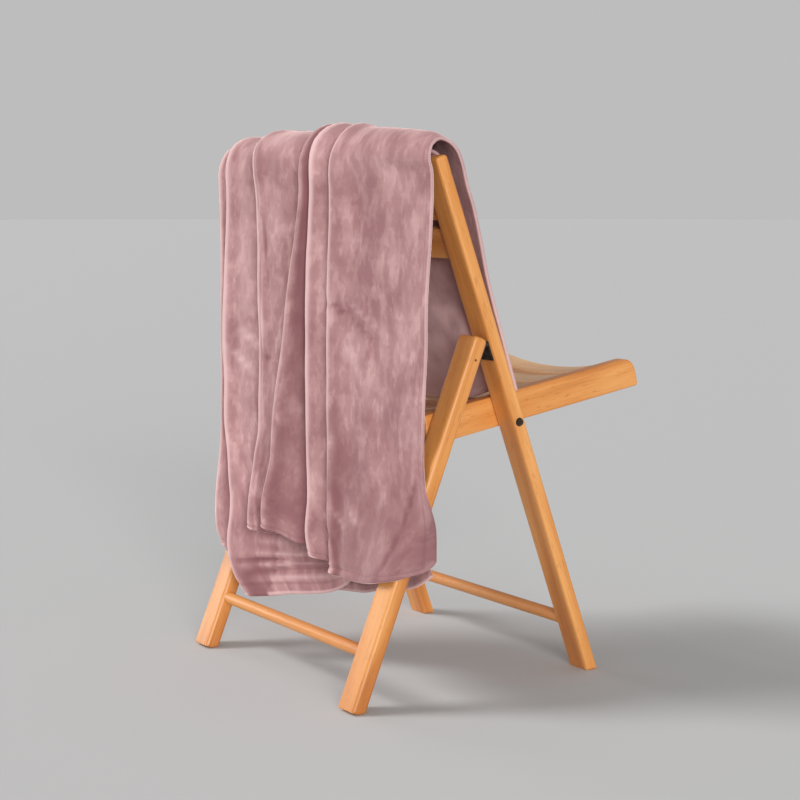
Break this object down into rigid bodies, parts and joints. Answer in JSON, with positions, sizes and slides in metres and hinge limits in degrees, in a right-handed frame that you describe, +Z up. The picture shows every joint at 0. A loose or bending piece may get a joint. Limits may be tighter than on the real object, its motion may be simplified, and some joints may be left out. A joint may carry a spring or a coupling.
{
  "type": "plush fleece throw blanket draped over a wooden folding chair",
  "caption": "Dusty pink plush fleece throw blanket, folded in pleats and hung over the back of a slatted honey-coloured wooden folding chair, seen from behind.",
  "frame": {"origin": "on the floor under the middle of the whole object's box", "axes": "+Z up, +Y towards the front of the chair's seat, +X to the chair's right side seen from behind, where the throw's free edge hangs"},
  "size_m": [0.564, 0.5526, 0.8251],
  "materials": {
    "wood": "clear lacquer",
    "slat_wood": "clear lacquer",
    "steel": "dark grey satin",
    "plush": "brushed plush"
  },
  "bodies": {
    "root": {"post_right": "wood", "post_left": "wood", "rear_leg_right": "wood", "rear_leg_left": "wood", "seat_rail_right": "wood", "seat_rail_left": "wood", "seat_slat_1": "slat_wood", "seat_slat_2": "slat_wood", "seat_slat_3": "slat_wood", "seat_slat_4": "slat_wood", "seat_slat_5": "slat_wood", "seat_slat_6": "slat_wood", "back_slat_upper": "wood", "back_slat_lower": "wood", "front_stretcher": "wood", "rear_stretcher": "wood", "pivot_bolt_right": "steel", "pivot_bolt_left": "steel", "rear_pin_right": "steel", "rear_pin_left": "steel", "hinge_plate_right": "steel", "hinge_plate_left": "steel", "throw": "plush"}
  },
  "joints": []
}
